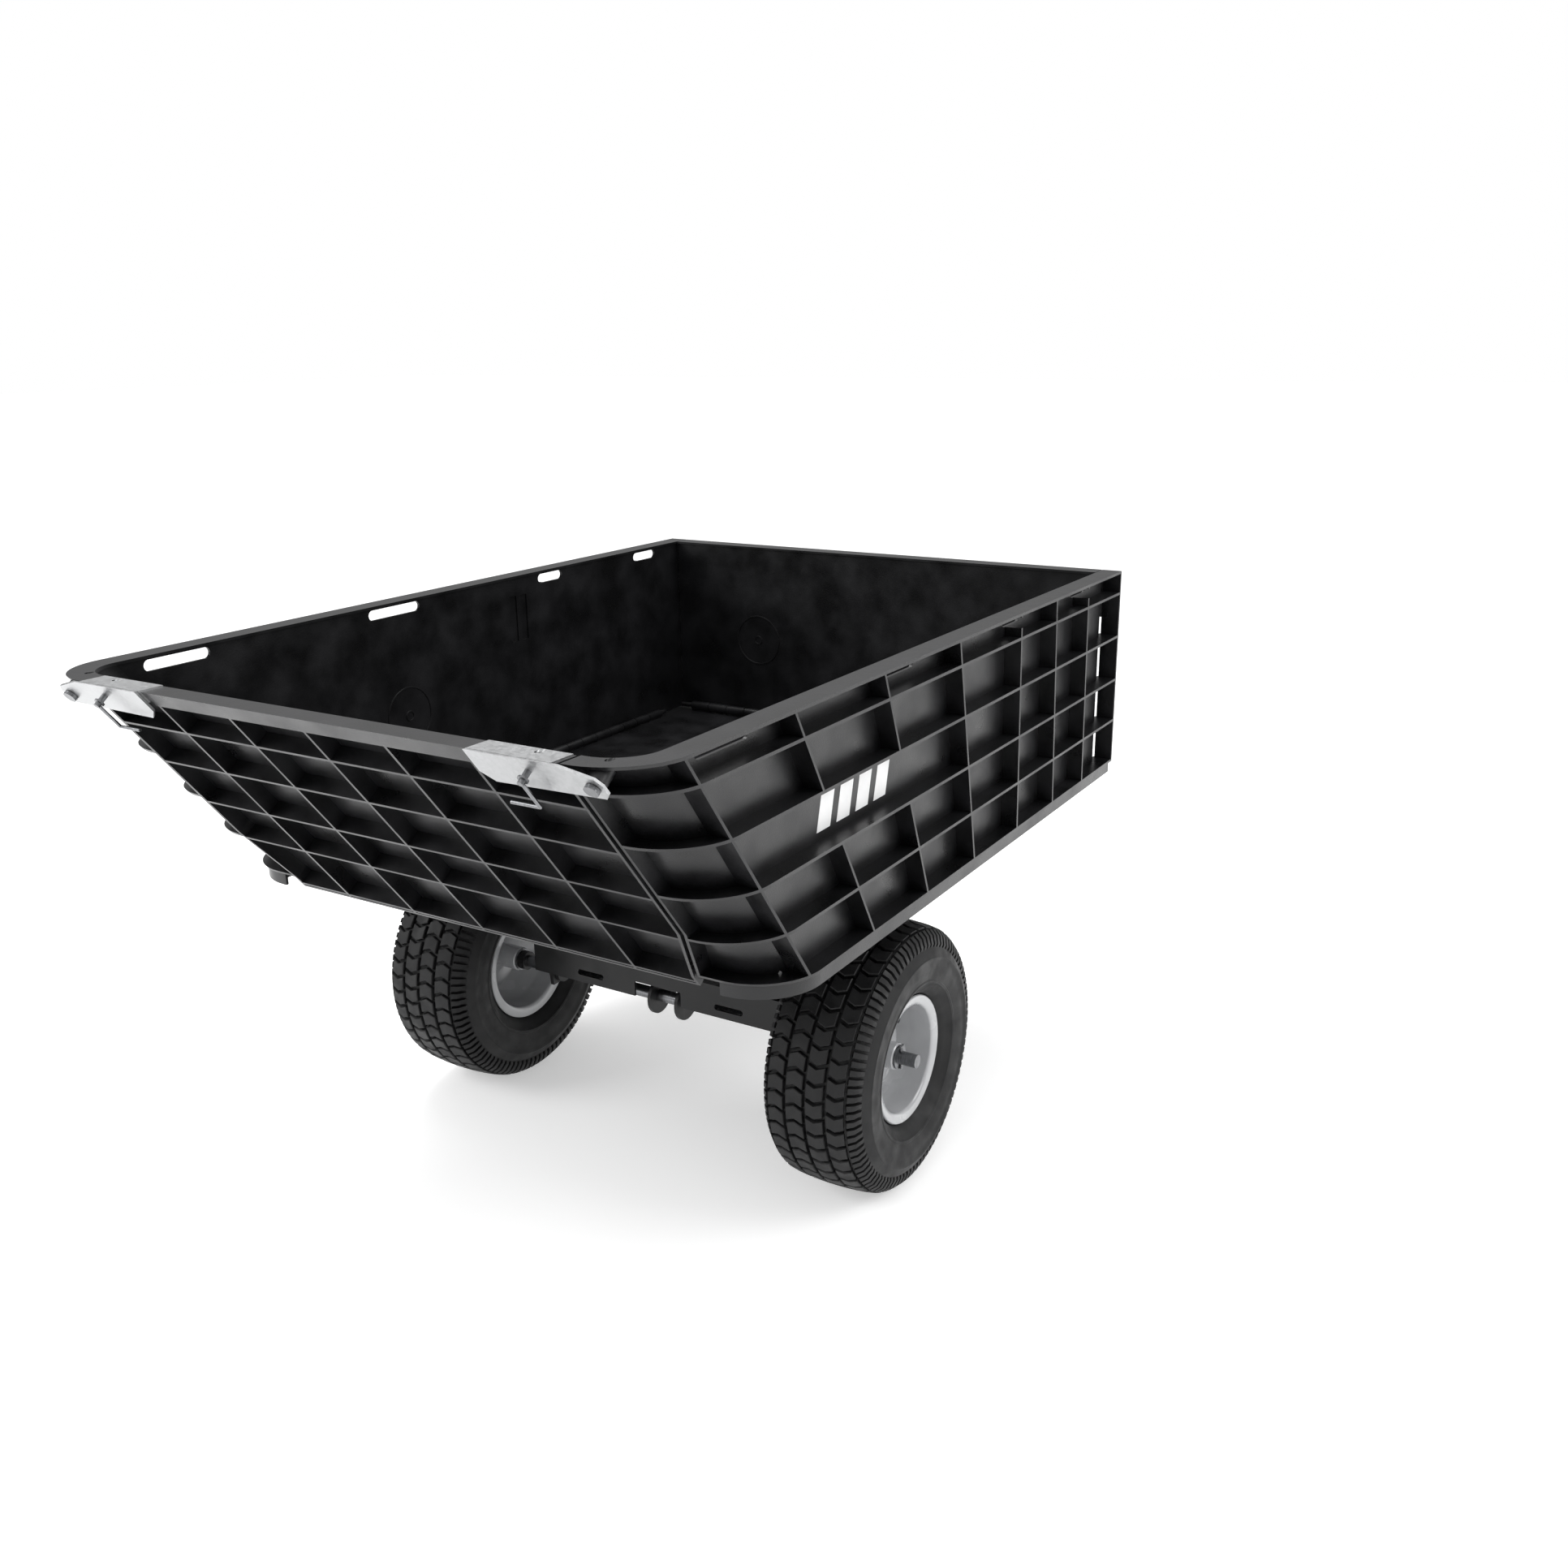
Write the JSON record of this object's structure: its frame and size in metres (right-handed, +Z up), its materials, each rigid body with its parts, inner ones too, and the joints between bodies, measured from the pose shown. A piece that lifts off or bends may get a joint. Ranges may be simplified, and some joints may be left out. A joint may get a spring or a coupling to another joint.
{
  "type": "tow behind cart",
  "caption": "Tow-behind dump cart with a ribbed plastic bed, leaning tailgate held by two steel latch arms, pin-hitch tongue and two pneumatic turf wheels.",
  "frame": {"origin": "on the ground, under the middle of the whole cart from the latch arms to the hitch", "axes": "+X forward to the tractor, +Y left, +Z up"},
  "size_m": [1.7664, 0.888, 0.7799],
  "materials": {
    "bed_plastic": "moulded semi-matte black",
    "zinc_steel": "galvanised",
    "bright_steel": "zinc plated",
    "tyre_rubber": "matte rubber",
    "valve_rubber": "matte rubber",
    "rim_paint": "gloss light grey",
    "black_paint": "satin black"
  },
  "bodies": {
    "tongue": {"axle_shaft": "bright_steel", "axle_washers": "bright_steel", "axle_collars": "black_paint", "cotter_pins": "bright_steel", "tongue_tube": "black_paint", "upper_hitch_bar": "black_paint", "lower_hitch_bar": "black_paint", "bed_rest_post": "black_paint", "tongue_bolts": "bright_steel", "left_axle_plate": "black_paint", "right_axle_plate": "black_paint"},
    "bed": {"floor_pan": "bed_plastic", "left_side_panel": "bed_plastic", "right_side_panel": "bed_plastic", "axle_beam": "black_paint", "rear_cross_rail": "black_paint", "front_cross_rail": "black_paint", "latch_guide": "black_paint", "front_hinge_rod": "black_paint", "rear_hinge_rod": "black_paint", "left_hinge_rod": "black_paint", "right_hinge_rod": "black_paint", "left_arm_bolt": "bright_steel", "right_arm_bolt": "bright_steel", "left_corner_catch": "bright_steel", "right_corner_catch": "bright_steel", "left_axle_bracket": "black_paint", "right_axle_bracket": "black_paint", "left_bed_support": "black_paint", "right_bed_support": "black_paint"},
    "front_wall": {"front_panel": "bed_plastic"},
    "rear_wall": {"tailgate": "bed_plastic", "left_rim_cap": "zinc_steel", "right_rim_cap": "zinc_steel"},
    "left_arm": {"left_latch_arm": "zinc_steel"},
    "right_arm": {"right_latch_arm": "zinc_steel"},
    "left_pin": {"left_pull_pin": "bright_steel"},
    "right_pin": {"right_pull_pin": "bright_steel"},
    "latch_bolt": {"dump_latch_bolt": "bright_steel"},
    "hitch_pin": {"hitch_pin": "bright_steel"},
    "hitch_clip": {"hitch_clip": "bright_steel"},
    "left_wheel": {"left_tyre": "tyre_rubber", "left_rim": "rim_paint", "left_hub": "rim_paint", "left_valve": "valve_rubber"},
    "right_wheel": {"right_tyre": "tyre_rubber", "right_rim": "rim_paint", "right_hub": "rim_paint", "right_valve": "valve_rubber"}
  },
  "joints": [
    {"name": "bed_tilt", "type": "hinge", "parent": "tongue", "child": "bed", "pos_m": [-0.21778, 0, 0.1905], "axis": [0, -1, 0], "range_deg": [0, 45]},
    {"name": "tailgate_fold", "type": "hinge", "parent": "bed", "child": "rear_wall", "pos_m": [-0.58333, 0, 0.466], "axis": [0, 1, 0], "range_deg": [0, 126]},
    {"name": "front_fold", "type": "hinge", "parent": "bed", "child": "front_wall", "pos_m": [0.40722, 0, 0.466], "axis": [0, -1, 0], "range_deg": [0, 88]},
    {"name": "left_arm_swing", "type": "hinge", "parent": "bed", "child": "left_arm", "pos_m": [-0.83826, 0.388, 0.77606], "axis": [-0.788, 0, -0.6157], "range_deg": [0, 95]},
    {"name": "right_arm_swing", "type": "hinge", "parent": "bed", "child": "right_arm", "pos_m": [-0.83826, -0.388, 0.77606], "axis": [0.788, 0, 0.6157], "range_deg": [0, 95]},
    {"name": "left_pin_travel", "type": "slide", "parent": "left_arm", "child": "left_pin", "axis": [0.788, 0, 0.6157], "range_m": [0, 0.008]},
    {"name": "right_pin_travel", "type": "slide", "parent": "right_arm", "child": "right_pin", "axis": [0.788, 0, 0.6157], "range_m": [0, 0.008]},
    {"name": "dump_latch_travel", "type": "slide", "parent": "bed", "child": "latch_bolt", "axis": [1, 0, 0], "range_m": [0, 0.02]},
    {"name": "hitch_pin_lift", "type": "slide", "parent": "tongue", "child": "hitch_pin", "axis": [0, 0, 1], "range_m": [0, 0.014]},
    {"name": "clip_pull", "type": "slide", "parent": "hitch_pin", "child": "hitch_clip", "axis": [0, 1, 0], "range_m": [0, 0.032]},
    {"name": "left_wheel_spin", "type": "hinge", "parent": "tongue", "child": "left_wheel", "pos_m": [-0.21778, 0.34, 0.1905], "axis": [0, 1, 0], "continuous": true},
    {"name": "right_wheel_spin", "type": "hinge", "parent": "tongue", "child": "right_wheel", "pos_m": [-0.21778, -0.34, 0.1905], "axis": [0, 1, 0], "continuous": true}
  ]
}
